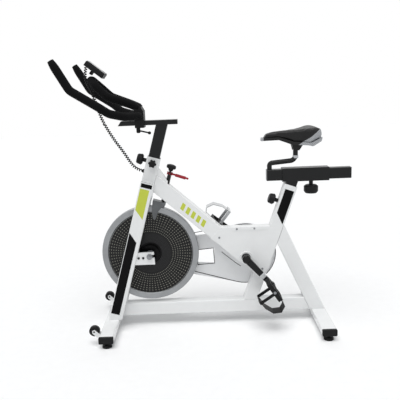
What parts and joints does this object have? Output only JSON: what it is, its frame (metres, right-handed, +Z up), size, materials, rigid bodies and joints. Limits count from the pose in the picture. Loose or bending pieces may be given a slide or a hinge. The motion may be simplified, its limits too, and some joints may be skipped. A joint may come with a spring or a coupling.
{
  "type": "indoor spin bike",
  "caption": "Stationary exercise bike with a belt-driven front flywheel, leaning fork frame, sliding saddle and handlebar, caged pedals and friction brake.",
  "frame": {"origin": "on the floor below the middle of the bike's length and width", "axes": "+X towards the rear of the bike, +Y towards the rider's right (drive side), +Z up"},
  "size_m": [1.262, 0.5, 1.2238],
  "materials": {
    "white_paint": "gloss",
    "black_paint": "satin",
    "black_plastic": "matte",
    "white_plastic": "satin",
    "gloss_black": "gloss",
    "chrome": "polished",
    "steel": "brushed",
    "cast_rim": "machined",
    "belt_rubber": "matte",
    "grip_foam": "matte",
    "saddle_cover": "matte",
    "red_grip": "gloss",
    "felt": "matte",
    "aluminium": "satin"
  },
  "bodies": {
    "frame": {"base_tube": "white_paint", "front_stabiliser": "white_paint", "rear_stabiliser": "white_paint", "stabiliser_end_caps": "black_plastic", "fork_legs": "white_paint", "head_tube": "white_paint", "down_tube": "white_paint", "seat_tube": "white_paint", "rear_leg": "white_paint", "cross_tube": "white_paint", "post_bushings": "black_plastic", "frame_screws": "steel", "belt_guard_outer": "white_plastic", "belt_guard_inner": "white_plastic", "side_panel": "white_paint", "flywheel_axle": "steel", "crank_bearings": "steel", "brake_guide": "black_paint", "drive_belt": "belt_rubber", "cord_gland": "black_plastic", "console_cord": "black_plastic"},
    "flywheel": {"flywheel": "cast_rim", "flywheel_faces": "black_paint", "hub_bearings": "steel", "flywheel_pulley": "aluminium"},
    "crankset": {"crank_axle": "steel", "crank_arm_left": "black_paint", "crank_arm_right": "black_paint", "drive_pulley": "aluminium", "pedal_spindles": "steel"},
    "pedal_left": {"pedal_body_left": "black_plastic", "toe_clip_left": "black_plastic"},
    "pedal_right": {"pedal_body_right": "black_plastic", "toe_clip_right": "black_plastic"},
    "handlebar_post": {"handlebar_post": "black_paint"},
    "bars": {"bar_clamp": "black_plastic", "outer_bar": "grip_foam", "inner_bar": "grip_foam"},
    "bar_lever": {"bar_lever": "black_plastic"},
    "console": {"console_housing": "gloss_black"},
    "console_button": {"console_button": "black_plastic"},
    "seat_post": {"seat_post": "black_paint"},
    "seat_slider": {"seat_slider": "black_paint", "saddle_stem": "black_paint"},
    "saddle": {"saddle_clamp": "black_paint", "saddle_shell": "black_plastic", "saddle_cushion": "saddle_cover"},
    "head_pin": {"head_pin": "black_plastic"},
    "seat_pin": {"seat_pin": "black_plastic"},
    "head_lock_knob": {"head_lock_knob": "black_plastic"},
    "slider_knob": {"slider_knob": "black_plastic"},
    "resistance_knob": {"resistance_knob": "black_plastic"},
    "brake_lever": {"brake_lever": "red_grip"},
    "brake_caliper": {"brake_caliper": "steel"},
    "transport_wheel_left": {"transport_wheel_left": "black_plastic"},
    "transport_wheel_right": {"transport_wheel_right": "black_plastic"},
    "foot_front_left": {"foot_front_left": "black_plastic"},
    "foot_front_right": {"foot_front_right": "black_plastic"},
    "foot_rear_left": {"foot_rear_left": "black_plastic"},
    "foot_rear_right": {"foot_rear_right": "black_plastic"}
  },
  "joints": [
    {"name": "flywheel_spin", "type": "hinge", "parent": "frame", "child": "flywheel", "pos_m": [-0.288, 0, 0.353], "axis": [0, 1, 0], "continuous": true},
    {"name": "crank_spin", "type": "hinge", "parent": "frame", "child": "crankset", "pos_m": [0.151, 0, 0.323], "axis": [0, 1, 0], "continuous": true},
    {"name": "pedal_left_spin", "type": "hinge", "parent": "crankset", "child": "pedal_left", "pos_m": [0.26475, -0.124, 0.19667], "axis": [0, 1, 0], "continuous": true},
    {"name": "pedal_right_spin", "type": "hinge", "parent": "crankset", "child": "pedal_right", "pos_m": [0.03725, 0.124, 0.44933], "axis": [0, 1, 0], "continuous": true},
    {"name": "bar_height", "type": "slide", "parent": "frame", "child": "handlebar_post", "axis": [0.279, 0, 0.9603], "range_m": [-0.06, 0.04], "deforming": ["console_cord"]},
    {"name": "bar_reach", "type": "slide", "parent": "handlebar_post", "child": "bars", "axis": [1, 0, 0], "range_m": [-0.07, 0.005], "deforming": ["console_cord"]},
    {"name": "bar_lever_turn", "type": "hinge", "parent": "bars", "child": "bar_lever", "pos_m": [-0.311, 0, 0.92], "axis": [0, 0, 1], "range_deg": [-110, 70]},
    {"name": "console_tilt", "type": "hinge", "parent": "bars", "child": "console", "pos_m": [-0.5, 0, 1.17], "axis": [0, 1, 0], "range_deg": [-15, 15], "deforming": ["console_cord"]},
    {"name": "console_button_press", "type": "slide", "parent": "console", "child": "console_button", "axis": [-0.6293, 0, -0.7771], "range_m": [0, 0.0012], "stiffness_N_per_m": 800},
    {"name": "seat_height", "type": "slide", "parent": "frame", "child": "seat_post", "axis": [0.3371, 0, 0.9415], "range_m": [0, 0.18]},
    {"name": "seat_reach", "type": "slide", "parent": "seat_post", "child": "seat_slider", "axis": [1, 0, 0], "range_m": [-0.08, 0.04]},
    {"name": "saddle_tilt", "type": "hinge", "parent": "seat_slider", "child": "saddle", "pos_m": [0.384, 0, 0.815], "axis": [0, 1, 0], "range_deg": [-15, 15]},
    {"name": "head_pin_pull", "type": "slide", "parent": "frame", "child": "head_pin", "axis": [-0.9603, 0, 0.279], "range_m": [0, 0.012], "stiffness_N_per_m": 900},
    {"name": "seat_pin_pull", "type": "slide", "parent": "frame", "child": "seat_pin", "axis": [-0.9415, 0, 0.3371], "range_m": [0, 0.012], "stiffness_N_per_m": 900},
    {"name": "head_lock_turn", "type": "hinge", "parent": "frame", "child": "head_lock_knob", "pos_m": [-0.25459, 0, 0.77134], "axis": [0, -1, 0], "range_deg": [0, 720]},
    {"name": "slider_knob_turn", "type": "hinge", "parent": "seat_post", "child": "slider_knob", "pos_m": [0.454, 0, 0.63], "axis": [0, 0, -1], "range_deg": [0, 720]},
    {"name": "resistance_turn", "type": "hinge", "parent": "frame", "child": "resistance_knob", "pos_m": [-0.18198, 0, 0.71791], "axis": [0.279, 0, 0.9603], "range_deg": [0, 385]},
    {"name": "brake_press", "type": "slide", "parent": "frame", "child": "brake_caliper", "axis": [-0.279, 0, -0.9603], "range_m": [0, 0.0016]},
    {"name": "brake_lever_tip", "type": "hinge", "parent": "frame", "child": "brake_lever", "pos_m": [-0.18143, 0, 0.71983], "axis": [0, 1, 0], "range_deg": [0, 25], "stiffness_Nm_per_rad": 0.6},
    {"name": "wheel_left_spin", "type": "hinge", "parent": "frame", "child": "transport_wheel_left", "pos_m": [-0.533, -0.2, 0.066], "axis": [0, 1, 0], "continuous": true},
    {"name": "wheel_right_spin", "type": "hinge", "parent": "frame", "child": "transport_wheel_right", "pos_m": [-0.533, 0.2, 0.066], "axis": [0, 1, 0], "continuous": true},
    {"name": "foot_front_left_screw", "type": "slide", "parent": "frame", "child": "foot_front_left", "axis": [0, 0, -1], "range_m": [0, 0.012]},
    {"name": "foot_front_right_screw", "type": "slide", "parent": "frame", "child": "foot_front_right", "axis": [0, 0, -1], "range_m": [0, 0.012]},
    {"name": "foot_rear_left_screw", "type": "slide", "parent": "frame", "child": "foot_rear_left", "axis": [0, 0, -1], "range_m": [0, 0.012]},
    {"name": "foot_rear_right_screw", "type": "slide", "parent": "frame", "child": "foot_rear_right", "axis": [0, 0, -1], "range_m": [0, 0.012]}
  ],
  "couplings": [
    {"joint": "crank_spin", "follows": "flywheel_spin", "ratio": 0.32632},
    {"joint": "resistance_turn", "follows": "brake_press", "rad_per_m": 4188.8}
  ]
}
